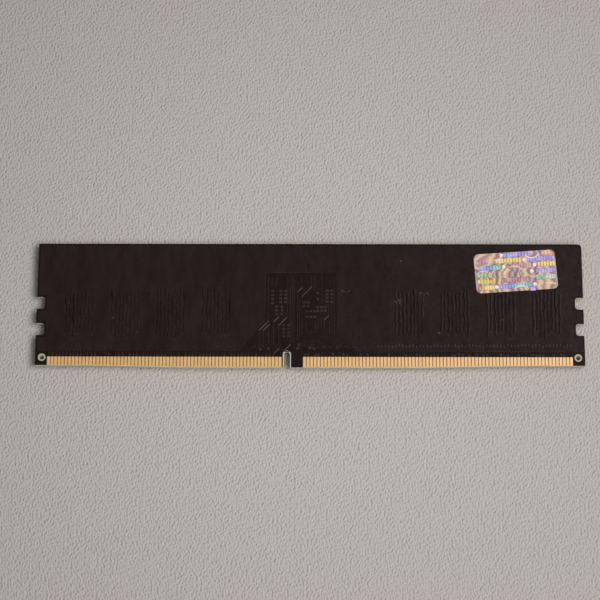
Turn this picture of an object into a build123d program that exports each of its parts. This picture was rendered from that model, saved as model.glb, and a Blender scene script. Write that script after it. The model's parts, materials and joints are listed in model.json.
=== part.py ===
from build123d import *
import os
from math import cos, radians, sin

# Memory module: a 288-contact unbuffered DIMM with eight memory packages on its front face and a
# bare back face. Millimetres. It lies on its packages: +X is the module's length as the back face
# is seen from above, +Y runs from the contact edge to the top edge, and +Z is out of the back face.
# The origin is under the centre of the board, level with the outer faces of the packages.

# Board
board_length = 133.35
board_width = 31.25
mask_thickness = 0.05
laminate_half = 0.65
plane_thickness = 0.035
inner_thickness = 0.05
plane_pullback = 0.6
top_right_corner = 1.0
top_left_corner = 0.2

# Contact edge: it is lowest in the middle, and both ends are raised by a straight ramp
end_rise = 0.5
left_raised_end = 13.55
left_ramp_end = 36.50
right_ramp_start = 94.30
right_raised_start = 119.80

# Key slot, from the left end of the board, with a rim clear of solder mask
key_position = 61.10
key_width = 1.5
key_depth = 4.0
key_rim = 0.25

# Latch notches in both ends, measured up from the contact edge
notch_heights = (9.5, 16.1)
notch_length = 3.0
notch_depth = 2.0
notch_radius = 0.75

# Tooling holes, near the two lower corners, each in a ring clear of solder mask
hole_inset = 1.65
hole_height = 2.45
hole_diameter = 1.15
hole_ring = 1.85

# Contacts
contact_pitch = 0.85
contact_width = 0.60
contact_top = 2.62
contact_edge_gap = 0.12
contact_thickness = 0.045
first_contact = 3.35
left_count = 67
right_count = 77
contact_zone_margin = 0.10

# Memory packages: 78-ball grid array, 7.5 x 11 mm
package_width = 7.5
package_height = 11.0
package_pitch = 11.15
first_package = 22.9
packages_per_side = 4
package_centre_height = 17.5
mould_thickness = 0.55
substrate_thickness = 0.20
ball_standoff = 0.33
ball_pad_radius = 0.17
ball_belly = 0.06
ball_pitch = 0.8
ball_columns = 3
ball_rows = 13
ball_block_offset = 2.4
die_width = 5.2
die_height = 8.6
die_thickness = 0.25
window_width = 0.9
window_height = 9.8
window_bulge = 0.12
window_bulge_rim = 0.25
mark_diameter = 0.6
mark_depth = 0.03
mark_inset = 0.9
mould_edge = 0.05

# Serial presence detect memory
spd_width = 2.0
spd_height = 3.0
spd_thickness = 0.75
spd_centre = (-1.0, 18.0)
spd_terminal_width = 0.25
spd_terminal_length = 0.35
spd_terminal_pitch = 0.5
spd_terminal_thickness = 0.05
spd_terminals_per_side = 4
spd_pad_size = 1.5
spd_edge = 0.05
spd_resistor_offset = 2.5
spd_resistor_shift = 0.9

# Four-way resistor arrays
array_width = 2.0
array_length = 1.0
array_thickness = 0.40
array_terminal_width = 0.28
array_terminal_length = 0.20
array_terminal_pitch = 0.5
array_resistors = 4
array_height = 6.4
array_offset = 2.45
terminator_count = 7
terminator_first = 26.0
terminator_pitch = 4.0
terminator_height = 28.6

# Two-terminal parts: length, width, thickness, terminal length
resistor_size = (1.0, 0.5, 0.33, 0.22)
capacitor_size = (1.0, 0.5, 0.48, 0.24)
bulk_capacitor_size = (1.6, 0.8, 0.78, 0.32)
terminal_skin = 0.02
resistor_spacing = 0.75

# Capacitors: over each package, in the gap on its outer side, near the key and around the SPD
over_package_gap = 1.6
over_package_shift = 1.6
gap_capacitor_shifts = (-3.5, -1.5)
gap_bulk_shift = 3.0
key_capacitor_height = 7.0
key_capacitor_reach = (4.0, 9.0)
middle_bulk_reach = 14.0
middle_bulk_heights = (12.0, 20.0)

# Hologram sticker on the back face
sticker_width = 20.0
sticker_height = 10.0
sticker_corner = 1.2
sticker_thickness = 0.10
sticker_x = 50.4
sticker_y = 8.65
sticker_turn = 4.0

# Places that follow from the driving dimensions
left_end = -board_length / 2
right_end = board_length / 2
contact_edge = -board_width / 2
top_edge = board_width / 2
mould_base = mould_thickness
substrate_base = mould_base + substrate_thickness
front_face = substrate_base + ball_standoff
front_laminate = front_face + mask_thickness
board_middle = front_laminate + laminate_half
back_laminate = board_middle + laminate_half
back_face = back_laminate + mask_thickness
ground_plane_top = board_middle - inner_thickness / 2
power_plane_base = board_middle + inner_thickness / 2
key_x = left_end + key_position
left_last_contact = first_contact + (left_count - 1) * contact_pitch
right_first_contact = board_length - first_contact - (right_count - 1) * contact_pitch
package_y = contact_edge + package_centre_height
package_reach = [first_package + step * package_pitch for step in range(packages_per_side)]
package_centres = [-reach for reach in reversed(package_reach)] + package_reach


def over_edge(height):
    """The y of a point at a height above the lowest line of the contact edge."""
    return contact_edge + height


def edge_points(lift):
    """The contact edge from left to right, raised by lift."""
    low = contact_edge + lift
    high = low + end_rise
    return [
        (left_end, high),
        (left_end + left_raised_end, high),
        (left_end + left_ramp_end, low),
        (left_end + right_ramp_start, low),
        (left_end + right_raised_start, high),
        (right_end, high),
    ]


def board_face(key_margin=0.0, hole=hole_diameter, lift=0.0):
    """The board's outline with its key slot, latch notches and tooling holes."""
    with BuildSketch() as outline:
        with BuildLine():
            Polyline(*edge_points(lift), (right_end, top_edge), (left_end, top_edge), close=True)
        make_face()
        top_corners = outline.vertices().group_by(Axis.Y)[-1].sort_by(Axis.X)
        fillet(top_corners[-1], top_right_corner)
        fillet(top_corners[0], top_left_corner)
        slot_radius = key_width / 2 + key_margin
        slot_top = over_edge(key_depth - key_width / 2)
        with Locations((key_x, slot_top)):
            Circle(slot_radius, mode=Mode.SUBTRACT)
        with Locations((key_x, slot_top - key_depth / 2)):
            Rectangle(2 * slot_radius, key_depth, mode=Mode.SUBTRACT)
        for end in (left_end, right_end):
            with Locations(*[(end, over_edge(height)) for height in notch_heights]):
                RectangleRounded(2 * notch_depth, notch_length, notch_radius, mode=Mode.SUBTRACT)
        hole_x = right_end - hole_inset
        with Locations((-hole_x, over_edge(hole_height)), (hole_x, over_edge(hole_height))):
            Circle(hole / 2, mode=Mode.SUBTRACT)
    return outline.sketch


def contact_groups():
    """The first contact's distance from the left end, and the count, of each group."""
    return {"left": (first_contact, left_count), "right": (right_first_contact, right_count)}


def save(piece, name):
    """Labels a finished piece and writes its file."""
    piece.label = name
    export_step(piece, f"parts/{name}.step")


def inner_face():
    """The outline of the sheets sealed inside the board, short of its edges, notches and holes."""
    with BuildSketch() as outline:
        add(board_face())
        offset(amount=-plane_pullback, kind=Kind.INTERSECTION)
    return outline.sketch


def save_board_layers():
    """Two laminate halves, with two copper planes and an insulating sheet sealed between them."""
    halves = {"front": -1, "back": 1}
    for side, direction in halves.items():
        with BuildPart() as half:
            with BuildSketch(Plane.XY.offset(board_middle)):
                add(board_face())
            extrude(amount=direction * laminate_half)
            with BuildSketch(Plane.XY.offset(board_middle)):
                add(inner_face())
            pocket_depth = inner_thickness / 2 + plane_thickness
            extrude(amount=direction * pocket_depth, mode=Mode.SUBTRACT)
        save(half.part, f"laminate_{side}")

    sheets = {
        "ground_plane": (ground_plane_top - plane_thickness, plane_thickness),
        "laminate_inner": (ground_plane_top, inner_thickness),
        "power_plane": (power_plane_base, plane_thickness),
    }
    for name, (base, thickness) in sheets.items():
        with BuildPart() as sheet:
            with BuildSketch(Plane.XY.offset(base)):
                add(inner_face())
            extrude(amount=thickness)
        save(sheet.part, name)


def mask_face():
    """The solder mask's outline: clear of the contacts, the key's rim and the tooling holes."""
    with BuildSketch() as mask:
        add(board_face(key_margin=key_rim, hole=hole_ring))
        for start, count in contact_groups().values():
            zone = (count - 1) * contact_pitch + contact_width + 2 * contact_zone_margin
            centre = left_end + start + (count - 1) * contact_pitch / 2
            with Locations((centre, contact_edge)):
                Rectangle(zone, 2 * contact_top, mode=Mode.SUBTRACT)
    return mask.sketch


def save_solder_mask():
    """A solder mask on each face of the board."""
    faces = {"front": (front_laminate, -1), "back": (back_laminate, 1)}
    for side, (level, direction) in faces.items():
        with BuildPart() as mask:
            with BuildSketch(Plane.XY.offset(level)):
                add(mask_face())
            extrude(amount=direction * mask_thickness)
        save(mask.part, f"solder_mask_{side}")


def save_contacts():
    """The gold contacts: two groups on each face, every contact a solid of its own."""
    levels = {"front": (front_laminate, -contact_thickness), "back": (back_laminate, contact_thickness)}
    for side, (level, amount) in levels.items():
        for group, (start, count) in contact_groups().items():
            centre = left_end + start + (count - 1) * contact_pitch / 2
            with BuildPart() as contacts:
                with BuildSketch(Plane.XY.offset(level)):
                    with Locations((centre, contact_edge)):
                        with GridLocations(contact_pitch, 1, count, 1):
                            Rectangle(contact_width, 2 * contact_top)
                    add(board_face(lift=contact_edge_gap), mode=Mode.INTERSECT)
                extrude(amount=amount)
            save(contacts.part, f"contacts_{side}_{group}")


def package_mould(x):
    """Moulded cover over the die, reaching through the ends of the bond window to its far side."""
    centre = Plane((x, package_y, 0))
    with BuildPart() as mould:
        with BuildSketch(centre):
            Rectangle(package_width, package_height)
        extrude(amount=mould_thickness)
        chamfer(mould.faces().sort_by(Axis.Z)[0].edges(), mould_edge)
        with BuildSketch(centre.offset(mould_base)):
            Rectangle(window_width, window_height)
        extrude(amount=substrate_thickness)
        with BuildSketch(centre.offset(substrate_base)):
            Rectangle(window_width + 2 * window_bulge_rim, window_height + 2 * window_bulge_rim)
        extrude(amount=window_bulge, taper=45)
        with BuildSketch(centre.offset(mould_base - die_thickness)):
            Rectangle(die_width, die_height)
        extrude(amount=die_thickness, mode=Mode.SUBTRACT)
        mark_x = package_width / 2 - mark_inset
        mark_y = package_height / 2 - mark_inset
        with BuildSketch(centre):
            with Locations((mark_x, mark_y)):
                Circle(mark_diameter / 2)
        extrude(amount=mark_depth, mode=Mode.SUBTRACT)
    return mould.part


def package_substrate(x):
    """Laminate carrier of a package, with the slot that its bond wires pass through."""
    with BuildPart() as substrate:
        with BuildSketch(Plane((x, package_y, mould_base))):
            Rectangle(package_width, package_height)
            Rectangle(window_width, window_height, mode=Mode.SUBTRACT)
        extrude(amount=substrate_thickness)
    return substrate.part


def package_die(x):
    """Silicon die, face down on the carrier."""
    with BuildPart() as die:
        with BuildSketch(Plane((x, package_y, mould_base - die_thickness))):
            Rectangle(die_width, die_height)
        extrude(amount=die_thickness)
    return die.part


def solder_ball():
    """One reflowed ball: a barrel between the carrier and the board."""
    with BuildPart() as ball:
        with BuildSketch(Plane.XZ):
            with BuildLine():
                foot = Line((0, 0), (ball_pad_radius, 0))
                belly = ThreePointArc(
                    foot @ 1,
                    (ball_pad_radius + ball_belly, ball_standoff / 2),
                    (ball_pad_radius, ball_standoff),
                )
                head = Line(belly @ 1, (0, ball_standoff))
                Line(head @ 1, foot @ 0)
            make_face()
        revolve(axis=Axis.Z)
    return ball.part


def package_balls(x):
    """The 78 balls of a package, in two blocks beside the bond window."""
    ball = solder_ball()
    with BuildPart() as balls:
        with Locations(
            (x - ball_block_offset, package_y, substrate_base),
            (x + ball_block_offset, package_y, substrate_base),
        ):
            with GridLocations(ball_pitch, ball_pitch, ball_columns, ball_rows):
                add(ball)
    return balls.part


def save_packages():
    """Eight memory packages, four on each side of the board's middle."""
    for number, x in enumerate(package_centres, start=1):
        save(package_mould(x), f"dram_{number}_mould")
        save(package_substrate(x), f"dram_{number}_substrate")
        save(package_die(x), f"dram_{number}_die")
        save(package_balls(x), f"dram_{number}_solder_balls")


def save_spd():
    """The small identification memory in the middle of the front face."""
    centre = (spd_centre[0], over_edge(spd_centre[1]))
    foot = front_face - spd_terminal_thickness
    with BuildPart() as body:
        with BuildSketch(Plane((*centre, foot))):
            Rectangle(spd_width, spd_height)
        extrude(amount=-(spd_thickness - spd_terminal_thickness))
        chamfer(body.faces().sort_by(Axis.Z)[0].edges(), spd_edge)
    save(body.part, "spd_body")

    row = (spd_height - spd_terminal_length) / 2
    with BuildPart() as terminals:
        with BuildSketch(Plane((*centre, front_face))):
            with Locations((0, -row), (0, row)):
                with GridLocations(spd_terminal_pitch, 1, spd_terminals_per_side, 1):
                    Rectangle(spd_terminal_width, spd_terminal_length)
            Rectangle(spd_pad_size, spd_pad_size)
        extrude(amount=-spd_terminal_thickness)
    save(terminals.part, "spd_terminals")


def array_places():
    """Centres of the resistor arrays: two under each package and the terminators at the top."""
    beside = [
        (x + shift, over_edge(array_height))
        for x in package_centres
        for shift in (-array_offset, array_offset)
    ]
    ends = [
        (terminator_first + step * terminator_pitch, over_edge(terminator_height))
        for step in range(terminator_count)
    ]
    return beside + ends


def save_resistor_arrays():
    """Ceramic bodies of the four-way arrays, and their eight terminals each."""
    places = array_places()
    with BuildPart() as bodies:
        with BuildSketch(Plane.XY.offset(front_face)):
            with Locations(*places):
                Rectangle(array_width, array_length - 2 * array_terminal_length)
        extrude(amount=-array_thickness)
    save(bodies.part, "resistor_array_bodies")

    row = (array_length - array_terminal_length) / 2
    with BuildPart() as terminals:
        with BuildSketch(Plane.XY.offset(front_face)):
            with Locations(*places):
                with Locations((0, -row), (0, row)):
                    with GridLocations(array_terminal_pitch, 1, array_resistors, 1):
                        Rectangle(array_terminal_width, array_terminal_length)
        extrude(amount=-(array_thickness + terminal_skin))
    save(terminals.part, "resistor_array_terminals")


def save_two_terminal_parts(name, size, along_x, along_y):
    """Bodies and end terminals of one size of resistor or capacitor."""
    length, width, thickness, terminal = size
    reach = (length - terminal) / 2
    with BuildPart() as bodies:
        with BuildSketch(Plane.XY.offset(front_face)):
            if along_x:
                with Locations(*along_x):
                    Rectangle(length - 2 * terminal, width)
            with Locations(*along_y):
                Rectangle(width, length - 2 * terminal)
        extrude(amount=-thickness)
    save(bodies.part, f"{name}_bodies")

    with BuildPart() as terminals:
        with BuildSketch(Plane.XY.offset(front_face)):
            if along_x:
                with Locations(*along_x):
                    with Locations((-reach, 0), (reach, 0)):
                        Rectangle(terminal, width + terminal_skin)
            with Locations(*along_y):
                with Locations((0, -reach), (0, reach)):
                    Rectangle(width + terminal_skin, terminal)
        extrude(amount=-(thickness + terminal_skin))
    save(terminals.part, f"{name}_terminals")


def resistor_places():
    """Three resistors between the two arrays of each package, and two beside the SPD."""
    below = [
        (x + step * resistor_spacing, over_edge(array_height))
        for x in package_centres
        for step in (-1, 0, 1)
    ]
    beside_spd = [
        (spd_centre[0] - spd_resistor_offset, over_edge(spd_centre[1] + shift))
        for shift in (-spd_resistor_shift, spd_resistor_shift)
    ]
    return below + beside_spd


def gap_centre(x):
    """The middle of the gap on a package's outer side."""
    return x + package_pitch / 2 if x > 0 else x - package_pitch / 2


def capacitor_places():
    """Small capacitors: two above each package, two in the gap beside it, four near the key."""
    above_height = package_centre_height + package_height / 2 + over_package_gap
    above = [
        (x + shift, over_edge(above_height))
        for x in package_centres
        for shift in (-over_package_shift, over_package_shift)
    ]
    beside = [
        (gap_centre(x), over_edge(package_centre_height + shift))
        for x in package_centres
        for shift in gap_capacitor_shifts
    ]
    near_key = [
        (side * reach, over_edge(key_capacitor_height))
        for reach in key_capacitor_reach
        for side in (-1, 1)
    ]
    return above, beside + near_key


def bulk_capacitor_places():
    """Large capacitors: one in each gap and four in the middle of the board."""
    gap_height = package_centre_height + gap_bulk_shift
    in_gaps = [(gap_centre(x), over_edge(gap_height)) for x in package_centres]
    middle = [
        (side * middle_bulk_reach, over_edge(height))
        for height in middle_bulk_heights
        for side in (-1, 1)
    ]
    return in_gaps + middle


def save_sticker():
    """Hologram sticker near the right end of the back face, a little out of square."""
    along = (cos(radians(sticker_turn)), sin(radians(sticker_turn)), 0)
    with BuildPart() as sticker:
        with BuildSketch(Plane((sticker_x, sticker_y, back_face), x_dir=along)):
            RectangleRounded(sticker_width, sticker_height, sticker_corner)
        extrude(amount=sticker_thickness)
    save(sticker.part, "hologram_sticker")


os.makedirs("parts", exist_ok=True)
save_board_layers()
save_solder_mask()
save_contacts()
save_packages()
save_spd()
save_resistor_arrays()
save_two_terminal_parts("resistor", resistor_size, [], resistor_places())
save_two_terminal_parts("capacitor", capacitor_size, *capacitor_places())
save_two_terminal_parts("bulk_capacitor", bulk_capacitor_size, [], bulk_capacitor_places())
save_sticker()
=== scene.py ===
import json
import math
import random

import bmesh
import bpy
from mathutils import Matrix, Vector


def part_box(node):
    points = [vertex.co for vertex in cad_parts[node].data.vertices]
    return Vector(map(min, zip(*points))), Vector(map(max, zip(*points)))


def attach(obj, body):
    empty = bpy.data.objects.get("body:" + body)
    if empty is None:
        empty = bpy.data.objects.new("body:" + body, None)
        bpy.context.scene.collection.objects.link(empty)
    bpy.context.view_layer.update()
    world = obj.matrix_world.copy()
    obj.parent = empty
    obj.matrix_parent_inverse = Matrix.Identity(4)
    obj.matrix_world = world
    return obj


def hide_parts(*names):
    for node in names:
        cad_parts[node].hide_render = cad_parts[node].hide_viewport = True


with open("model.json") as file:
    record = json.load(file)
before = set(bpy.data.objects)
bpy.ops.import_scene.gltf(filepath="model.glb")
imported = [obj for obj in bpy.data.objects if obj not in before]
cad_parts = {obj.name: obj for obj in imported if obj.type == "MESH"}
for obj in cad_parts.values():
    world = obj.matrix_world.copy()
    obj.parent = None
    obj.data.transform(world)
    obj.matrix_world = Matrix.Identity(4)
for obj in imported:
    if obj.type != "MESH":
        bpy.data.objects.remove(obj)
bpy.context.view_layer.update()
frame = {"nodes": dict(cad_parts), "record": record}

# A memory module that lies on its packages with its bare back face up. The places and sizes of its pieces are
# in millimetres and turned into metres where a mesh is made. The camera, the light and the floor are in metres.
MM = 0.001

# Places from the frame: x from the middle of the board, height in its plane from the contact edge
mask_low, mask_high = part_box("solder_mask_back")
sticker_low, sticker_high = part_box("hologram_sticker")
left_pads_low, left_pads_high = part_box("contacts_back_left")
right_pads_low, right_pads_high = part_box("contacts_back_right")
half_length = mask_high.x / MM
edge_y = mask_low.y / MM
board_width = (mask_high.y - mask_low.y) / MM
mask_top = mask_high.z / MM
pad_top = left_pads_high.y / MM - edge_y
laminate_top = left_pads_low.z / MM
package_boxes = [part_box(f"dram_{n}_mould") for n in range(1, 9)]
package_x = sorted((low.x + high.x) / 2 / MM for low, high in package_boxes)

# Relief of the copper under the lacquer: its height, the width of its sloping side, and how far its foot is sunk
RELIEF = 0.042
SLOPE = 0.100
EMBED = 0.010

# Least cosine that a bend is widened by, so that sharp corners don't run out into spikes
LINE_BEND = 0.5
BLOCK_BEND = 0.4


# ---------------------------------------------------------------- outlines, in millimetres


def disc(x, y, radius, steps=12):
    """A round outline."""
    turn = 2 * math.pi / steps
    return [(x + radius * math.cos(k * turn), y + radius * math.sin(k * turn)) for k in range(steps)]


def track(points, width, steps=4):
    """The outline of a line of constant width with round ends and mitred bends."""
    half = width / 2
    spine = [Vector(p) for p in points]
    ways = [(b - a).normalized() for a, b in zip(spine, spine[1:])]

    def side_of(way):
        return Vector((-way.y, way.x))

    left, right = [], []
    for k, point in enumerate(spine):
        before = ways[max(k - 1, 0)]
        after = ways[min(k, len(ways) - 1)]
        mitre = (side_of(before) + side_of(after)).normalized()
        reach = half / max(mitre.dot(side_of(after)), LINE_BEND)
        left.append(point + mitre * reach)
        right.append(point - mitre * reach)

    def cap(centre, start):
        turns = [math.pi * j / steps for j in range(1, steps)]
        return [centre + Matrix.Rotation(-a, 2) @ (start - centre) for a in turns]

    outline = left + cap(spine[-1], left[-1]) + right[::-1] + cap(spine[0], right[0])
    return [tuple(p) for p in outline]


def rounded_box(x, y, width, height, radius, turn=0.0, steps=5):
    """A rectangle with round corners, turned about its middle by degrees."""
    points = []
    corners = ((1, 1, 0), (-1, 1, 90), (-1, -1, 180), (1, -1, 270))
    for sx, sy, start in corners:
        for k in range(steps + 1):
            angle = math.radians(start + 90 * k / steps)
            px = sx * (width / 2 - radius) + radius * math.cos(angle)
            py = sy * (height / 2 - radius) + radius * math.sin(angle)
            points.append((px, py))
    c, s = math.cos(math.radians(turn)), math.sin(math.radians(turn))
    return [(x + c * px - s * py, y + s * px + c * py) for px, py in points]


def anticlockwise(outline):
    """The same outline, running anticlockwise."""
    area = sum(a[0] * b[1] - b[0] * a[1] for a, b in zip(outline, outline[1:] + outline[:1]))
    return outline if area > 0 else outline[::-1]


# ---------------------------------------------------------------- meshes


def raise_outline(mesh, outline, base, top, slope):
    """Adds a closed block over an outline, with sloping sides and a flat top."""
    ring = [Vector(p) for p in anticlockwise(outline)]
    low, high = [], []
    for k, point in enumerate(ring):
        before = (point - ring[k - 1]).normalized()
        after = (ring[(k + 1) % len(ring)] - point).normalized()
        inward = Vector((-before.y - after.y, before.x + after.x)).normalized()
        reach = slope / max(inward.dot(Vector((-after.y, after.x))), BLOCK_BEND)
        inner = point + inward * reach
        low.append(mesh.verts.new((point.x * MM, point.y * MM, base * MM)))
        high.append(mesh.verts.new((inner.x * MM, inner.y * MM, top * MM)))
    faces = [mesh.faces.new(high), mesh.faces.new(low[::-1])]
    for k in range(len(ring)):
        n = (k + 1) % len(ring)
        faces.append(mesh.faces.new((low[k], low[n], high[n], high[k])))
    return faces


def new_object(name, mesh, material):
    """Puts a finished mesh in the scene as a piece of the object; material is one material or a list."""
    piece = bpy.data.objects.new(name, mesh)
    bpy.context.scene.collection.objects.link(piece)
    for m in material if isinstance(material, (list, tuple)) else [material]:
        piece.data.materials.append(m)
    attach(piece, "root")
    return piece


def block_piece(name, blocks, base, top, slope, material):
    """One piece of many raised outlines; each block is an outline or (outline, material index)."""
    mesh = bmesh.new()
    for block in blocks:
        outline, index = block if isinstance(block, tuple) else (block, 0)
        for face in raise_outline(mesh, outline, base, top, slope):
            face.material_index = index
    data = bpy.data.meshes.new(name)
    mesh.to_mesh(data)
    mesh.free()
    return new_object(name, data, material)


def plate(name, outlines, base, top, slope, material):
    """A flat plate whose first outline is its foot and whose others are openings, with sloping sides.

    A filled curve makes the plate, and its bevel gives the slope. The lower half of the bevel is then set
    between the base and a foot just above it, and the upper half between that foot and the top.
    """
    curve = bpy.data.curves.new(name, "CURVE")
    curve.dimensions = "2D"
    curve.fill_mode = "BOTH"
    curve.bevel_depth = slope
    curve.bevel_resolution = 0
    curve.offset = -slope
    for outline in outlines:
        spline = curve.splines.new("POLY")
        spline.points.add(len(outline) - 1)
        for point, (x, y) in zip(spline.points, outline):
            point.co = (x, y, 0, 1)
        spline.use_cyclic_u = True
    helper = bpy.data.objects.new(name + "_curve", curve)
    bpy.context.scene.collection.objects.link(helper)
    data = bpy.data.meshes.new_from_object(helper)
    bpy.data.objects.remove(helper)
    foot = min(base + EMBED, top)
    for vertex in data.vertices:
        level = vertex.co.z / slope
        vertex.co.z = foot + level * (top - foot) if level > 0 else foot + level * (foot - base)
        vertex.co *= MM
    data.materials.clear()
    data.name = name
    return new_object(name, data, material)


# ---------------------------------------------------------------- materials

# Depths of the grain in the surfaces, in metres
PEEL_DEPTH = 0.00003
GRAIN_DEPTH = 0.00002
SCRATCH_DEPTH = 0.00001


class Nodes:
    """A material's node tree, with short calls for the nodes used here."""

    def __init__(self, name):
        self.material = bpy.data.materials.new(name)
        self.material.use_nodes = True
        self.tree = self.material.node_tree
        self.shader = self.tree.nodes["Principled BSDF"]
        self.place = self.tree.nodes.new("ShaderNodeTexCoord").outputs["Object"]

    def set(self, **values):
        """Sets inputs of the shader by name, with underscores for spaces."""
        for key, value in values.items():
            self.shader.inputs[key.replace("_", " ")].default_value = value

    def link(self, a, b):
        self.tree.links.new(a, b)

    def stretched(self, scale):
        """The object's own coordinates, multiplied along each axis."""
        node = self.tree.nodes.new("ShaderNodeMapping")
        node.inputs["Scale"].default_value = scale
        self.link(self.place, node.inputs["Vector"])
        return node.outputs["Vector"]

    def noise(self, scale, detail=3.0, roughness=0.5, place=None):
        node = self.tree.nodes.new("ShaderNodeTexNoise")
        node.inputs["Scale"].default_value = scale
        node.inputs["Detail"].default_value = detail
        node.inputs["Roughness"].default_value = roughness
        self.link(place or self.place, node.inputs["Vector"])
        return node.outputs["Fac"]

    def ramp(self, value, *stops):
        """A colour from a value, by stops of position and colour."""
        node = self.tree.nodes.new("ShaderNodeValToRGB")
        ramp = node.color_ramp
        while len(ramp.elements) < len(stops):
            ramp.elements.new(0.5)
        for element, (position, colour) in zip(ramp.elements, stops):
            element.position = position
            element.color = (*colour, 1.0)
        self.link(value, node.inputs["Fac"])
        return node.outputs["Color"]

    def range(self, value, low, high, out_low, out_high):
        """A value between low and high, moved to lie between out_low and out_high."""
        node = self.tree.nodes.new("ShaderNodeMapRange")
        for key, number in (("From Min", low), ("From Max", high), ("To Min", out_low), ("To Max", out_high)):
            node.inputs[key].default_value = number
        self.link(value, node.inputs["Value"])
        return node.outputs["Result"]

    def bump(self, height, strength, distance):
        node = self.tree.nodes.new("ShaderNodeBump")
        node.inputs["Strength"].default_value = strength
        node.inputs["Distance"].default_value = distance
        self.link(height, node.inputs["Height"])
        self.link(node.outputs["Normal"], self.shader.inputs["Normal"])

    def colour(self, output):
        self.link(output, self.shader.inputs["Base Color"])

    def roughness(self, output):
        self.link(output, self.shader.inputs["Roughness"])


def solder_mask(name, dark, light, rough, shine):
    """Black lacquer over copper or laminate: cloudy colour, an orange-peel surface and uneven gloss."""
    m = Nodes(name)
    cloud = m.noise(1.0, 5.0, 0.65, m.stretched((420.0, 150.0, 150.0)))
    m.colour(m.ramp(cloud, (0.34, dark), (0.66, light)))
    m.roughness(m.range(m.noise(900.0, 4.0, 0.65), 0.3, 0.7, rough - 0.06, rough + 0.08))
    m.bump(m.noise(4200.0, 2.0, 0.5), 0.30, PEEL_DEPTH)
    m.set(IOR=1.45, Specular_IOR_Level=shine)
    return m.material


def laminate(name, dark, light):
    """Bare glass-epoxy, with the fibre weave showing as fine streaks."""
    m = Nodes(name)
    along = m.noise(1.0, 3.0, 0.6, m.stretched((500.0, 4200.0, 9000.0)))
    m.colour(m.ramp(along, (0.32, dark), (0.70, light)))
    m.roughness(m.range(along, 0.3, 0.7, 0.45, 0.7))
    m.bump(along, 0.3, PEEL_DEPTH)
    m.set(IOR=1.5)
    return m.material


def gold():
    """Gold plating over nickel: brushed along the contacts, cloudy, and redder toward the right end."""
    m = Nodes("contact_gold")
    grain = m.noise(1.0, 4.0, 0.6, m.stretched((9000.0, 500.0, 500.0)))
    axes = m.tree.nodes.new("ShaderNodeSeparateXYZ")
    m.link(m.place, axes.inputs["Vector"])
    along = m.range(axes.outputs["X"], -half_length * MM, half_length * MM, 0.25, 0.75)
    mix = m.tree.nodes.new("ShaderNodeMix")
    mix.inputs["Factor"].default_value = 0.45
    m.link(along, mix.inputs["A"])
    m.link(m.noise(420.0, 3.0, 0.5), mix.inputs["B"])
    m.colour(m.ramp(
        mix.outputs["Result"], (0.28, (0.78, 0.49, 0.18)), (0.50, (0.94, 0.59, 0.25)), (0.72, (1.00, 0.64, 0.35)),
    ))
    m.roughness(m.range(grain, 0.3, 0.7, 0.40, 0.58))
    m.bump(grain, 0.12, SCRATCH_DEPTH)
    m.set(Metallic=0.35)
    return m.material


def metal(name, dark, light, low, high):
    """A plain metal with uneven colour, and roughness from low to high."""
    m = Nodes(name)
    patch = m.noise(700.0, 4.0, 0.6)
    m.colour(m.ramp(patch, (0.3, dark), (0.7, light)))
    m.roughness(m.range(patch, 0.3, 0.7, low, high))
    m.bump(m.noise(3500.0, 2.0, 0.5), 0.15, SCRATCH_DEPTH)
    m.set(Metallic=1.0)
    return m.material


def solid(name, dark, light, low, high, ior=1.5):
    """A moulded or fired material: speckled colour, roughness from low to high and a fine grain."""
    m = Nodes(name)
    speck = m.noise(900.0, 5.0, 0.7)
    m.colour(m.ramp(speck, (0.3, dark), (0.7, light)))
    m.roughness(m.range(speck, 0.3, 0.7, low, high))
    m.bump(m.noise(5400.0, 3.0, 0.6), 0.2, GRAIN_DEPTH)
    m.set(IOR=ior)
    return m.material


mask_on_copper = solder_mask("mask_over_copper", (0.0136, 0.0082, 0.0070), (0.0236, 0.0142, 0.0126), 0.30, 0.22)
mask_on_laminate = solder_mask("mask_over_laminate", (0.0100, 0.0050, 0.0040), (0.0150, 0.0078, 0.0066), 0.38, 0.17)
mask_on_land = solder_mask("mask_over_lands", (0.0172, 0.0106, 0.0100), (0.0310, 0.0200, 0.0190), 0.32, 0.48)
# Lighter lacquer: the vias' own colour, and on the crests beside the data lines a painted glint
mask_on_via_and_painted_glint = solder_mask("mask_over_vias_and_painted_glint", (0.0300, 0.0230, 0.0260), (0.0560, 0.0460, 0.0500), 0.30, 0.60)
dust = solid("dust", (0.05, 0.042, 0.040), (0.10, 0.088, 0.084), 0.8, 0.95)
bare_laminate = laminate("bare_laminate", (0.52, 0.49, 0.37), (0.74, 0.71, 0.57))
key_rim_laminate = laminate("key_rim_laminate", (0.48, 0.51, 0.42), (0.70, 0.73, 0.64))
ring_laminate = laminate("hole_ring_laminate", (0.30, 0.30, 0.23), (0.52, 0.52, 0.43))
gap_laminate = laminate("contact_gap_laminate", (0.24, 0.125, 0.045), (0.40, 0.23, 0.09))
contact_gold = gold()
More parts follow.
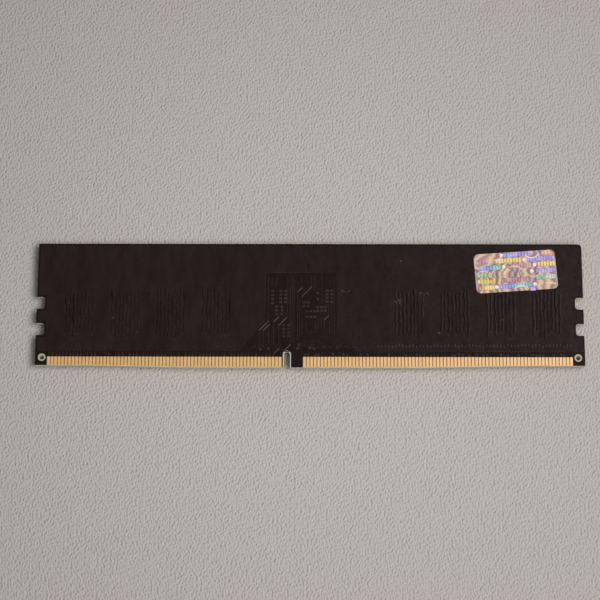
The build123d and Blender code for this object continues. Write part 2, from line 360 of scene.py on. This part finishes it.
slot_materials = {
    "laminate": bare_laminate,
    "solder_mask": mask_on_laminate,
    "gold": contact_gold,
    "copper": metal("copper_foil", (0.62, 0.27, 0.16), (0.80, 0.42, 0.28), 0.3, 0.5),
    "mould_compound": solid("mould_epoxy", (0.016, 0.016, 0.017), (0.030, 0.030, 0.031), 0.55, 0.7),
    "package_laminate": solid("package_laminate", (0.030, 0.050, 0.026), (0.055, 0.080, 0.040), 0.4, 0.55),
    "silicon": solid("silicon", (0.05, 0.052, 0.06), (0.085, 0.088, 0.10), 0.15, 0.25, ior=2.2),
    "solder": metal("solder", (0.50, 0.51, 0.53), (0.66, 0.67, 0.69), 0.22, 0.40),
    "tinned_terminal": metal("tin_plate", (0.56, 0.56, 0.55), (0.70, 0.70, 0.69), 0.35, 0.55),
    "resistor_ceramic": solid("resistor_overcoat", (0.012, 0.012, 0.014), (0.026, 0.026, 0.030), 0.3, 0.45),
    "capacitor_ceramic": solid("capacitor_ceramic", (0.15, 0.085, 0.045), (0.25, 0.15, 0.085), 0.4, 0.6),
}
# The sticker's own node has no entry above, because a new piece replaces it
slot_of = {row["node"]: row["material_slot"] for row in frame["record"]["subparts"]}
for node, piece in frame["nodes"].items():
    material = slot_materials.get(slot_of[node])
    if material is not None:
        for material_slot in piece.material_slots:
            material_slot.material = material


# ---------------------------------------------------------------- camera, light and floor

CAMERA_ELEVATION = 74.3
CAMERA_AZIMUTH = 0.9
CAMERA_ROLL = -0.78
CAMERA_DISTANCE = 0.509
CAMERA_LENS = 125.1
CAMERA_AIM = Vector((-2.43, 1.28, 2.6)) * MM

KEY_LIGHT_PLACE = Vector((0.49, -0.18, 0.84))
KEY_LIGHT_SIZE = (1.05, 0.46)
KEY_LIGHT_ENERGY = 8.9
KEY_LIGHT_COLOUR = (1.0, 0.98, 0.955)
SURROUND_COLOUR = (1.0, 0.985, 0.965)
SURROUND_STRENGTH = 0.23

# The floor's colours make a painted pool of light: pale near the module, fading to grey further out
FLOOR_HALF = 1.5
FLOOR_POOL_LIT = (0.540, 0.515, 0.494)
FLOOR_POOL_DIM = (0.454, 0.429, 0.409)
LIGHT_POOL_INNER = 0.035
LIGHT_POOL_OUTER = 0.115
FLOOR_GRAIN = (1950.0, 1500.0, 1500.0)
FLOOR_GRAIN_DEPTH = 0.00038


def make_camera():
    """The camera, above the module and a little towards its contact edge."""
    e, a, r = (math.radians(v) for v in (CAMERA_ELEVATION, CAMERA_AZIMUTH, CAMERA_ROLL))
    back = Vector((math.sin(a) * math.cos(e), -math.cos(a) * math.cos(e), math.sin(e)))
    right = Vector((math.cos(a), math.sin(a), 0))
    up = back.cross(right)
    turned_right = right * math.cos(r) + up * math.sin(r)
    turned_up = up * math.cos(r) - right * math.sin(r)
    data = bpy.data.cameras.new("camera")
    data.lens = CAMERA_LENS
    data.clip_start = 0.01
    data.clip_end = 10.0
    camera = bpy.data.objects.new("camera", data)
    bpy.context.scene.collection.objects.link(camera)
    turn = Matrix((turned_right, turned_up, back)).transposed().to_4x4()
    camera.matrix_world = Matrix.Translation(CAMERA_AIM + back * CAMERA_DISTANCE) @ turn
    bpy.context.scene.camera = camera


def make_light():
    """A long soft key light to the right of the module, and a dim pale surround."""
    data = bpy.data.lights.new("key", "AREA")
    data.shape = "RECTANGLE"
    data.size, data.size_y = KEY_LIGHT_SIZE
    data.energy = KEY_LIGHT_ENERGY
    data.color = KEY_LIGHT_COLOUR
    light = bpy.data.objects.new("key", data)
    bpy.context.scene.collection.objects.link(light)
    light.location = KEY_LIGHT_PLACE
    light.rotation_mode = "QUATERNION"
    light.rotation_quaternion = KEY_LIGHT_PLACE.to_track_quat("Z", "Y")
    world = bpy.data.worlds.new("surround")
    world.use_nodes = True
    background = world.node_tree.nodes["Background"]
    background.inputs["Color"].default_value = (*SURROUND_COLOUR, 1.0)
    background.inputs["Strength"].default_value = SURROUND_STRENGTH
    bpy.context.scene.world = world


def make_floor():
    """A pale floor with a fine leather grain and a painted pool of light: paler under the packages, a little greyer
    away from them.
    """
    mesh = bmesh.new()
    bmesh.ops.create_grid(mesh, x_segments=1, y_segments=1, size=FLOOR_HALF)
    data = bpy.data.meshes.new("floor")
    mesh.to_mesh(data)
    mesh.free()
    floor = bpy.data.objects.new("floor", data)
    bpy.context.scene.collection.objects.link(floor)
    m = Nodes("floor_with_painted_light_pool")
    reach = m.tree.nodes.new("ShaderNodeVectorMath")
    reach.operation = "LENGTH"
    m.link(m.place, reach.inputs[0])
    # Painted pool of light: the colour fades from pale to grey with distance from the middle
    light_pool_fade = m.range(reach.outputs["Value"], LIGHT_POOL_INNER, LIGHT_POOL_OUTER, 0.0, 1.0)
    m.colour(m.ramp(light_pool_fade, (0.0, FLOOR_POOL_LIT), (1.0, FLOOR_POOL_DIM)))
    m.bump(m.noise(1.0, 0.0, 0.5, m.stretched(FLOOR_GRAIN)), 1.0, FLOOR_GRAIN_DEPTH)
    m.set(Roughness=0.8)
    floor.data.materials.append(m.material)


bpy.context.scene.view_settings.view_transform = "Standard"
make_camera()
make_light()
make_floor()


# ---------------------------------------------------------------- copper relief on the back face

# The board: its latch notches, key slot, tooling holes, contacts, and the line of its contact edge
NOTCH_DEPTH = 2.0
NOTCHES = ((8.0, 11.0), (14.6, 17.6))
KEY_X = -5.575
KEY_WIDTH = 1.5
KEY_TOP = 3.25
HOLE = (65.025, 2.45)
CONTACT_PITCH = 0.85
CONTACT_WIDTH = 0.60
EDGE_LINE = ((-63.9, 0.62), (-53.1, 0.62), (-30.2, 0.12), (27.6, 0.12), (53.1, 0.62), (63.9, 0.62))

# The copper pour, and the area in the middle that has none
POUR_INSET = 0.35
POUR_LOW = 3.9
POUR_CORNER = 1.0
KEEPOUT_TOP = 23.8
KEEPOUT_RIGHT = 6.35
KEEPOUT_LOW = POUR_LOW + 0.25

# Each package has a group of data lines: open channels in the pour, a line in each, and vias among them.
# A crest of lacquer stands beside each line of the right-hand groups, coloured lighter as a painted glint.
CHANNEL_LOW = 8.6
CHANNEL_HIGH = 19.6
CHANNEL_PITCH = 0.925
CHANNELS = 8
CHANNEL_WIDTH = 0.12
TRACE_WIDTH = 0.12
TRACE_SLOPE = 0.06
WIGGLE = 0.15
STRAY = 0.05
RIGHT_GROUP_SHIFT = 1.1
CREST_WIDTH = 0.12
CREST_RISE = 0.020
CHANNEL_VIA_RADIUS = 0.24
FOOT_VIA_RADIUS = 0.26
CHANNEL_VIA_SHARE = 0.6
FOOT_VIA_SHARE = 0.5
LONG_CREST_SHARE = 0.5
VIA_RISE = 0.030

# Over the contacts: short lines up to the pour, a low and a high row of vias, and bright slots at the right
NECK_WIDTH = 0.24
NECK_OVERLAP = 0.1
NECK_SHARE = 0.75
LOW_VIA_SHARE = 0.45
LOW_VIA_HEIGHT = 3.15
LOW_VIA_RADIUS = 0.25
LOW_VIA_RISE = 0.015
HIGH_VIA_BLANK_SHARE = 0.35
HIGH_VIA_HEIGHT = 5.2
HIGH_VIA_RADIUS = 0.24
RIGHT_VIAS_START = 16.0
BRIGHT_VIA_LIFT = 0.25
BRIGHT_VIA_SIZE = (0.36, 0.80)
BRIGHT_VIA_CORNER = 0.17
BRIGHT_VIA_RISE = 0.012

# The address lines in the middle of the board
ADDRESS_WIDTH = 0.30
JOG_WIDTH = 0.50
JOG_HEIGHT = 0.062
JOG_SLOPE = 0.18
LAND_SIZE = (0.72, 0.6)
LAND_CORNER = 0.14
LAND_RADIUS = 0.38
LAND_SLOPE = 0.10

# Bare laminate: between the contacts, round the tooling holes and along the key
OUTER_EDGE = EDGE_LINE[0][1]
INNER_EDGE = EDGE_LINE[2][1]
GAP_MARGIN = 0.05
GAP_RISE = 0.004
GAP_SLOPE = 0.002
HOLE_RING_RADII = (0.84, 0.62)
RING_EMBED = 0.012
RIM_RISE = 0.03
RIM_SLOPE = 0.02
KEY_RIM_OUTER = 0.24
KEY_RIM_INNER = 0.01
KEY_RIM_FOOT = 0.04

# Dust: middle, spread and number of grains
DUST = (
    (-48.0, 12.3, 0.12, 4), (22.3, 26.9, 0.10, 3), (27.9, 18.4, 0.60, 16), (21.5, 16.6, 0.75, 15), (8.3, 18.9, 0.65, 8),
    (31.4, 8.7, 0.15, 3), (47.0, 12.0, 0.10, 2), (-22.0, 20.0, 0.10, 2),
)
DUST_RADIUS = (0.07, 0.17)
DUST_RAGGED = 0.03
DUST_RISE = 0.012
DUST_SLOPE = 0.01


def at(x, height):
    """A point of the back face: x from the middle, height above the contact edge."""
    return (x, edge_y + height)


def path(*points):
    """Several such points."""
    return [at(x, height) for x, height in points]


def keepout_outline():
    """The area in the middle with no copper pour, where the address lines run."""
    return path(
        (-10.75, KEEPOUT_TOP), (KEEPOUT_RIGHT, KEEPOUT_TOP), (KEEPOUT_RIGHT, 9.2), (6.9, 8.2), (10.9, KEEPOUT_LOW),
        (-16.6, KEEPOUT_LOW), (-15.9, 5.6), (-12.9, 9.3), (-10.9, 11.6),
    )


def pour_outline():
    """The edge of the copper pour, stepped in round the latch notches."""
    side = half_length - POUR_INSET
    inner = side - NOTCH_DEPTH
    top = board_width - POUR_INSET
    right = [(side, POUR_LOW)]
    for low, high in NOTCHES:
        foot, head = low - POUR_INSET, high + POUR_INSET
        right += [(side, foot), (inner, foot), (inner, head), (side, head)]
    left = [(-x, height) for x, height in right[::-1]]
    return path(*right, (side, top - POUR_CORNER), (side - POUR_CORNER, top), (-side, top), *left)


def contact_places():
    """The x of every contact on the back face."""
    places = []
    for low, high in ((left_pads_low, left_pads_high), (right_pads_low, right_pads_high)):
        first = low.x / MM + CONTACT_WIDTH / 2
        last = high.x / MM - CONTACT_WIDTH / 2
        count = round((last - first) / CONTACT_PITCH) + 1
        places += [first + k * CONTACT_PITCH for k in range(count)]
    return places


def wiggled(x, low, high):
    """A route that climbs from low to high and steps sideways at 45 degrees now and then."""
    points = [(x, low)]
    height = low + draw.uniform(0.8, 3.0)
    side = 0.0
    while height < high - 1.2:
        step = -WIGGLE if side > 0 else WIGGLE
        points += [(x + side, height), (x + side + step, height + WIGGLE)]
        side += step
        height += draw.uniform(0.9, 3.4)
    return points + [(x + side, high)]


def data_lines(centres):
    """The routes of these groups of data lines, and the vias among them."""
    routes, vias = [], []
    for x in centres:
        for k in range(CHANNELS):
            centre = x + (k - (CHANNELS - 1) / 2) * CHANNEL_PITCH - WIGGLE / 2 + draw.gauss(0, STRAY)
            low = CHANNEL_LOW + draw.uniform(-1.2, 1.2)
            high = CHANNEL_HIGH + draw.uniform(-1.6, 0.6)
            routes.append(wiggled(centre, low, high))
            if draw.random() < CHANNEL_VIA_SHARE:
                place = at(centre + CHANNEL_PITCH / 2, draw.uniform(low, high))
                vias.append(disc(*place, CHANNEL_VIA_RADIUS, 8))
            if draw.random() < FOOT_VIA_SHARE:
                vias.append(disc(*at(centre, low - draw.uniform(0.6, 1.0)), FOOT_VIA_RADIUS, 8))
    return routes, vias


def crest(route):
    """A thin crest of lacquer beside a data line, along all of it or only its upper part; its lighter colour is a
    painted glint.
    """
    shift = CHANNEL_PITCH / 2 + draw.gauss(0, STRAY)
    start = 0 if draw.random() < LONG_CREST_SHARE else len(route) // 2
    return track(path(*[(x + shift, height) for x, height in route[start:]]), CREST_WIDTH)


def contact_lines():
    """Short lines from most contacts up to the pour, and the vias over the contacts."""
    lines, low_vias, high_vias, bright_vias = [], [], [], []
    for x in contact_places():
        kind = draw.random()
        if kind < NECK_SHARE:
            lines.append(track(path((x, pad_top + NECK_OVERLAP), (x, POUR_LOW + NECK_OVERLAP)), NECK_WIDTH))
        if kind < LOW_VIA_SHARE:
            place = at(x + draw.uniform(-0.1, 0.1), LOW_VIA_HEIGHT + draw.uniform(-0.1, 0.15))
            low_vias.append(disc(*place, LOW_VIA_RADIUS, 10))
        height = HIGH_VIA_HEIGHT + draw.uniform(-0.3, 0.2)
        if x > RIGHT_VIAS_START:
            bright_vias.append(rounded_box(*at(x, height + BRIGHT_VIA_LIFT), *BRIGHT_VIA_SIZE, BRIGHT_VIA_CORNER))
        elif kind > HIGH_VIA_BLANK_SHARE:
            high_vias.append(disc(*at(x + draw.uniform(-0.2, 0.2), height), HIGH_VIA_RADIUS, 8))
    return lines, low_vias, high_vias, bright_vias


# The lines in the middle of the board, which step sideways at about 45 degrees
ADDRESS_ROUTES = [
    ((-10.2, 23.0), (-10.2, 11.7), (-12.4, 9.4), (-12.4, 5.4)),
    ((-9.9, 10.9), (-11.4, 9.4), (-11.4, 5.4)),
    ((-9.3, 22.6), (-9.3, 20.4)),
    ((-8.2, 22.6), (-8.2, 20.4)),
    ((-7.7, 13.1), (-7.7, 12.7), (-8.9, 11.5), (-8.9, 6.0)),
    ((-5.7, 13.6), (-5.7, 12.6), (-7.6, 10.7), (-7.6, 4.8), (-8.7, 3.7)),
    ((-10.1, 9.9), (-10.1, 6.2)),
    ((-5.5, 22.8), (-5.5, 14.2)),
    ((-4.9, 20.4), (-4.9, 5.7), (-6.5, 4.1)),
    ((-4.4, 23.0), (-4.4, 6.4)),
    ((-3.9, 22.0), (-3.9, 4.9)),
    ((-2.1, 22.9), (-2.1, 20.1), (-3.1, 19.1), (-3.1, 6.9)),
    ((0.3, 22.9), (0.3, 20.3), (-2.0, 18.0), (-2.0, 8.4)),
    ((-2.6, 17.6), (-2.6, 7.6)),
    ((1.1, 22.9), (1.1, 19.6)),
    ((-0.3, 26.1), (-0.3, 24.3)),
    ((2.9, 22.9), (2.9, 16.2)),
    ((4.4, 15.8), (4.4, 13.0), (3.4, 12.0), (3.4, 9.8)),
    ((2.0, 12.2), (2.0, 9.8)),
    ((2.7, 12.6), (2.7, 10.2)),
    ((5.9, 23.0), (5.9, 8.9), (9.4, 5.4)),
    ((5.3, 15.6), (5.3, 8.6), (8.5, 5.4)),
    ((4.7, 11.6), (4.7, 8.3), (7.6, 5.4)),
    ((4.0, 9.6), (4.0, 8.1), (6.7, 5.4)),
    ((3.3, 8.9), (3.3, 7.9), (5.8, 5.4)),
    ((-1.9, 6.6), (2.2, 6.6), (3.4, 5.4)),
    ((-2.1, 5.8), (1.1, 5.8)),
    ((-0.9, 8.8), (1.3, 8.8)),
    ((-0.9, 11.6), (-0.9, 9.3)),
    ((1.3, 11.6), (1.3, 9.3)),
]


def address_lines():
    """Outlines of the address lines."""
    return [track(path(*route), ADDRESS_WIDTH) for route in ADDRESS_ROUTES]


def address_jogs():
    """The steps of the address lines that climb to the right, where the lacquer stands up highest."""
    jogs = []
    for route in ADDRESS_ROUTES:
        for (x0, h0), (x1, h1) in zip(route, route[1:]):
            if (x1 - x0) * (h1 - h0) > 0:
                jogs.append(track(path((x0, h0), (x1, h1)), JOG_WIDTH))
    return jogs


def grid(x, height, columns, rows, dx, dy):
    """The places of a grid whose top left corner is given."""
    return [(x + i * dx, height - j * dy) for i in range(columns) for j in range(rows)]


def buried_pads():
    """Lands and vias among the address lines, all of them under lacquer."""
    squares = (
        grid(-9.2, 19.3, 1, 4, 1.0, 1.05) + grid(-7.2, 19.3, 2, 4, 1.2, 0.95) + grid(-8.2, 15.3, 2, 3, 1.3, 0.95)
        + grid(-6.5, 10.6, 2, 4, 1.3, 0.9) + grid(-1.4, 16.4, 2, 2, 0.95, 0.95) + grid(-0.8, 14.1, 3, 2, 0.95, 1.4)
        + grid(1.8, 15.2, 3, 2, 0.95, 0.9) + grid(4.2, 19.4, 2, 4, 1.1, 0.95)
    )
    discs = [(1.8, 18.8), (1.8, 17.3), (-3.1, 4.8), (-2.7, 5.7), (-0.1, 4.9), (0.9, 4.7), (-12.1, 4.6), (-10.1, 4.8)]
    lands = [rounded_box(*at(x, height), *LAND_SIZE, LAND_CORNER) for x, height in squares]
    return lands + [disc(*at(x, height), LAND_RADIUS) for x, height in discs]


def make_relief():
    """Pour, data lines, vias and address lines, all under the same black lacquer."""
    top = mask_top + RELIEF
    base = mask_top - EMBED
    jog_top = mask_top + JOG_HEIGHT
    line_top = mask_top + TRACE_SLOPE / 2
    left_routes, left_vias = data_lines([x for x in package_x if x < 0])
    right_routes, right_vias = data_lines([x + RIGHT_GROUP_SHIFT for x in package_x if x > 0])
    routes = left_routes + right_routes
    necks, low_vias, high_vias, bright_vias = contact_lines()
    outlines = [pour_outline(), keepout_outline(), *[track(path(*route), CHANNEL_WIDTH) for route in routes]]
    plate("copper_pour_relief", outlines, base, top, SLOPE, mask_on_copper)
    data_tracks = [track(path(*route), TRACE_WIDTH) for route in routes]
    crests = [crest(route) for route in right_routes]
    vias = left_vias + right_vias + high_vias
    left_low = [via for via in low_vias if via[0][0] < KEY_X]
    right_low = [via for via in low_vias if via[0][0] > KEY_X]
    pieces = [
        ("data_line_relief", data_tracks, line_top, TRACE_SLOPE, mask_on_copper),
        # The crests take the lighter lacquer as a painted glint
        ("data_crest_painted_glint", crests, top + CREST_RISE, TRACE_SLOPE / 2, mask_on_via_and_painted_glint),
        ("data_via_relief", vias, top + VIA_RISE, LAND_SLOPE, mask_on_land),
        ("bright_via_relief", bright_vias, top + BRIGHT_VIA_RISE, LAND_SLOPE, mask_on_via_and_painted_glint),
        ("contact_line_relief", necks, top, SLOPE, mask_on_copper),
        ("contact_via_relief_left", left_low, top, LAND_SLOPE, mask_on_land),
        ("contact_via_relief_right", right_low, top + LOW_VIA_RISE, LAND_SLOPE, mask_on_via_and_painted_glint),
        ("address_line_relief", address_lines(), top, SLOPE, mask_on_copper),
        ("address_jog_relief", address_jogs(), jog_top, JOG_SLOPE, mask_on_copper),
        ("buried_pad_relief", buried_pads(), top, LAND_SLOPE, mask_on_land),
    ]
    for name, blocks, height, slope, material in pieces:
        block_piece(name, blocks, base, height, slope, material)


def make_dust():
    """A few pale specks and loose clusters of dust on the lacquer."""
    grains = []
    for x, height, reach, count in DUST:
        for _ in range(count):
            spot = at(x + draw.gauss(0, reach), height + draw.gauss(0, reach * 0.6))
            radius = draw.uniform(*DUST_RADIUS)
            grains.append([
                (px + draw.uniform(-DUST_RAGGED, DUST_RAGGED), py + draw.uniform(-DUST_RAGGED, DUST_RAGGED))
                for px, py in disc(*spot, radius, 7)
            ])
    block_piece("dust_specks", grains, mask_top, mask_top + RELIEF + DUST_RISE, DUST_SLOPE, dust)


def make_contact_gaps():
    """Laminate laid bare between the contacts and down to the contact edge."""
    floors = []
    for low, high in ((left_pads_low, left_pads_high), (right_pads_low, right_pads_high)):
        start, end = low.x / MM - GAP_MARGIN, high.x / MM + GAP_MARGIN
        lower = [(x, height) for x, height in EDGE_LINE if start < x < end]
        first = OUTER_EDGE if start < EDGE_LINE[0][0] + 1 else INNER_EDGE
        last = OUTER_EDGE if end > EDGE_LINE[-1][0] - 1 else INNER_EDGE
        top = pad_top + GAP_MARGIN
        floors.append(path((start, first), *lower, (end, last), (end, top), (start, top)))
    foot, top = laminate_top - EMBED, laminate_top + GAP_RISE
    block_piece("contact_gap_floor", floors, foot, top, GAP_SLOPE, gap_laminate)


def make_hole_rings():
    """A bare ring round each tooling hole."""
    for side, name in ((-1, "left"), (1, "right")):
        middle = at(side * HOLE[0], HOLE[1])
        rings = [disc(*middle, radius, 24) for radius in HOLE_RING_RADII]
        foot, top = laminate_top - RING_EMBED, laminate_top + RIM_RISE
        plate(f"hole_ring_{name}", rings, foot, top, RIM_SLOPE, ring_laminate)


def make_key_rim():
    """A bare rim along the key slot."""
    outer, inner = KEY_WIDTH / 2 + KEY_RIM_OUTER, KEY_WIDTH / 2 + KEY_RIM_INNER
    turns = [math.pi * k / 12 for k in range(13)]
    arch = [(KEY_X + outer * math.cos(a), KEY_TOP + outer * math.sin(a)) for a in turns]
    inside = [(KEY_X + inner * math.cos(a), KEY_TOP + inner * math.sin(a)) for a in turns[::-1]]
    foot = KEY_RIM_FOOT
    rim = path(
        (KEY_X + outer, foot), *arch, (KEY_X - outer, foot), (KEY_X - inner, foot), *inside, (KEY_X + inner, foot),
    )
    low, high = laminate_top - EMBED, laminate_top + RIM_RISE
    block_piece("key_rim", [rim], low, high, RIM_SLOPE, key_rim_laminate)


draw = random.Random(7)
make_relief()
make_contact_gaps()
make_hole_rings()
make_key_rim()
make_dust()


# ---------------------------------------------------------------- hologram sticker

STICKER_TURN = 4.0
STICKER_SIZE = (20.0, 10.0)
STICKER_CORNER = 1.2
STICKER_MARGIN = 0.3
FOIL_EDGE = 0.012
# Relief of the print, from the foil's face: its sunken foot, the bands, the bars, and the rings, which are highest
PRINT_EMBED = 0.004
BAND_RISE = 0.003
BAR_RISE = 0.008
PRINT_RISE = 0.012
BAND_SLOPE = 0.004
PRINT_SLOPE = 0.01
sticker_centre = (sticker_low + sticker_high) / 2 / MM
sticker_top = sticker_high.z / MM
sticker_face = sticker_top - PRINT_RISE

# The hologram's colours
HUES = {
    "yellow": (1.00, 0.80, 0.24), "orange": (1.00, 0.46, 0.20), "violet": (0.52, 0.40, 1.00),
    "blue": (0.38, 0.44, 1.00), "cyan": (0.24, 0.62, 0.80), "green": (0.22, 0.62, 0.33),
    "pink": (0.64, 0.32, 0.44), "silver": (0.60, 0.70, 0.62), "pearl": (1.00, 0.90, 0.80),
    "cream": (0.86, 0.68, 0.46), "ink": (0.15, 0.09, 0.07),
}
# The bands under the bars are in the same hues, mixed into this brown
BAND_GROUND = (0.20, 0.12, 0.10)
BAND_HUE_SHARE = 0.35
# Runs of bars: hue, start and end along the sticker, height of the middle
BAR_RUNS = [
    ("blue", 7.4, 10.2, 9.3), ("violet", 10.2, 14.0, 9.35), ("orange", 16.6, 19.0, 9.25),
    ("pink", 0.5, 3.4, 7.9), ("yellow", 5.2, 11.6, 7.9), ("violet", 13.0, 19.8, 7.95),
    ("blue", 1.0, 2.9, 6.3), ("cyan", 2.9, 5.1, 6.3), ("green", 5.1, 6.6, 6.35),
    ("pink", 8.0, 14.0, 6.35), ("yellow", 15.5, 19.85, 6.45),
    ("green", 0.5, 2.9, 4.55), ("violet", 15.0, 19.8, 4.8),
    ("yellow", 0.5, 4.9, 2.95), ("pink", 6.3, 13.0, 2.9), ("green", 14.9, 16.8, 3.15), ("silver", 17.3, 19.8, 3.2),
    ("orange", 0.6, 2.0, 1.3), ("yellow", 2.0, 4.5, 1.3), ("blue", 5.7, 8.6, 1.35), ("cyan", 8.6, 13.4, 1.4),
    ("violet", 13.1, 14.5, 0.45),
]
BAR_PITCH, BAR_WIDTH, BAR_HEIGHT, BAR_CORNER = 0.70, 0.50, 1.14, 0.1
SHORT_BAR = 0.8
# Dots of the print; the first one, at (6.9, 9.3), is a painted highlight
DOTS_AND_HIGHLIGHT = [(6.9, 9.3), (12.3, 7.9), (7.2, 6.4), (14.8, 6.4), (14.0, 4.85), (5.0, 1.35), (14.4, 1.5)]
DOT_RADIUS = 0.44
# Parts of rings: hue, middle, radius, start and end angle, width
RINGS = [
    ("cream", 5.4, 9.9, 1.7, 205, 340, 0.22), ("pearl", 14.3, 10.2, 2.0, 215, 325, 0.22),
    ("cream", 9.6, 3.7, 2.7, 15, 160, 0.22), ("cream", 14.3, 5.3, 1.9, 205, 330, 0.22),
    ("ink", 8.6, 4.5, 1.1, -75, 60, 0.20), ("ink", 4.4, 4.5, 1.3, 110, 250, 0.22),
    ("ink", 12.4, 4.2, 1.5, 135, 215, 0.20), ("ink", 6.4, 4.4, 1.2, 130, 215, 0.18),
    ("cream", 1.9, 4.1, 1.5, 30, 140, 0.22), ("cream", 11.0, -0.9, 2.2, 42, 138, 0.34),
    ("cream", 5.3, 4.3, 1.3, 120, 200, 0.22), ("cream", 17.6, -3.4, 5.0, 68, 96, 0.30),
]


def on_sticker(u, v):
    """A point of the sticker: u from its left side and v from its lower side, before it is turned."""
    c, s = math.cos(math.radians(STICKER_TURN)), math.sin(math.radians(STICKER_TURN))
    du, dv = u - STICKER_SIZE[0] / 2, v - STICKER_SIZE[1] / 2
    return (sticker_centre.x + c * du - s * dv, sticker_centre.y + s * du + c * dv)


def tinted_foil(name, colour):
    """Embossed foil in one of the hologram's colours, paler and darker in patches."""
    m = Nodes(name)
    patch = m.noise(420.0, 3.0, 0.6)
    deep = tuple(0.70 * c for c in colour)
    pale = tuple(0.68 * c + 0.32 for c in colour)
    m.colour(m.ramp(patch, (0.28, deep), (0.48, colour), (0.70, pale)))
    m.roughness(m.range(patch, 0.3, 0.7, 0.26, 0.42))
    m.bump(m.noise(9000.0, 1.0, 0.5), 0.15, SCRATCH_DEPTH)
    m.set(IOR=1.5)
    return m.material


def hologram_ground():
    """Mauve-brown foil with soft pale and dark bands that drift across it."""
    m = Nodes("hologram_ground")
    wave = m.tree.nodes.new("ShaderNodeTexWave")
    wave.wave_profile = "SAW"
    wave.inputs["Scale"].default_value = 60.0
    wave.inputs["Distortion"].default_value = 7.0
    wave.inputs["Detail"].default_value = 3.0
    m.link(m.stretched((1.0, 2.2, 1.0)), wave.inputs["Vector"])
    m.colour(m.ramp(
        wave.outputs["Fac"],
        (0.00, (0.42, 0.26, 0.20)), (0.20, (0.84, 0.66, 0.42)), (0.38, (0.32, 0.17, 0.16)),
        (0.56, (0.55, 0.46, 0.54)), (0.74, (0.25, 0.13, 0.11)), (0.88, (0.86, 0.64, 0.50)), (1.00, (0.42, 0.26, 0.20)),
    ))
    m.roughness(m.range(m.noise(1500.0, 3.0), 0.3, 0.7, 0.28, 0.45))
    m.bump(m.noise(2500.0, 2.0, 0.5), 0.1, SCRATCH_DEPTH)
    m.set(IOR=1.5)
    return m.material


def arc_band(u, v, radius, start, end, width, steps=14):
    """A band along the part of an arc that lies on the sticker."""
    turns = [math.radians(start + (end - start) * k / steps) for k in range(steps + 1)]
    points = [(u + radius * math.cos(a), v + radius * math.sin(a)) for a in turns]
    right, upper = STICKER_SIZE[0] - STICKER_MARGIN, STICKER_SIZE[1] - STICKER_MARGIN
    inside = [p for p in points if STICKER_MARGIN < p[0] < right and STICKER_MARGIN < p[1] < upper]
    return track([on_sticker(*p) for p in inside], width, 3)


def make_sticker():
    """Foil sticker on the pour: a rainbow ground with rows of bars, dots, one of them a painted highlight, and parts of
    rings.
    """
    base = mask_top + RELIEF
    outline = rounded_box(sticker_centre.x, sticker_centre.y, *STICKER_SIZE, STICKER_CORNER, STICKER_TURN, 8)
    ground = plate(
        "hologram_sticker_foil", [outline], base, sticker_face, FOIL_EDGE, hologram_ground(),
    )
    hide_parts("hologram_sticker")
    bright = [tinted_foil("hologram_" + name, hue) for name, hue in HUES.items()]
    muted = []
    for name, hue in HUES.items():
        mixed = [BAND_HUE_SHARE * c + (1 - BAND_HUE_SHARE) * g for c, g in zip(hue, BAND_GROUND)]
        muted.append(tinted_foil("hologram_band_" + name, mixed))
    index = {name: k for k, name in enumerate(HUES)}
    bands, bars = [], []
    for name, start, end, v in BAR_RUNS:
        middle = on_sticker((start + end) / 2, v)
        band = rounded_box(*middle, end - start, BAR_HEIGHT + BAR_CORNER, BAR_CORNER, STICKER_TURN, 2)
        bands.append((band, index[name]))
        count = max(int((end - start) / BAR_PITCH + 0.5), 1)
        for k in range(count):
            u = start + (k + 0.5) * (end - start) / count
            tall = BAR_HEIGHT if k % 3 else SHORT_BAR * BAR_HEIGHT
            bar = rounded_box(*on_sticker(u, v), BAR_WIDTH, tall, BAR_CORNER, STICKER_TURN, 2)
            bars.append((bar, index[name]))
    bars += [(disc(*on_sticker(u, v), DOT_RADIUS, 14), index["pearl"]) for u, v in DOTS_AND_HIGHLIGHT]
    rings = [(arc_band(*ring), index[name]) for name, *ring in RINGS]
    foot = sticker_face - PRINT_EMBED
    block_piece("hologram_bands", bands, foot, sticker_face + BAND_RISE, BAND_SLOPE, muted)
    block_piece("hologram_bars", bars, foot, sticker_face + BAR_RISE, PRINT_SLOPE, bright)
    block_piece("hologram_rings", rings, foot, sticker_top, PRINT_SLOPE, bright)


make_sticker()
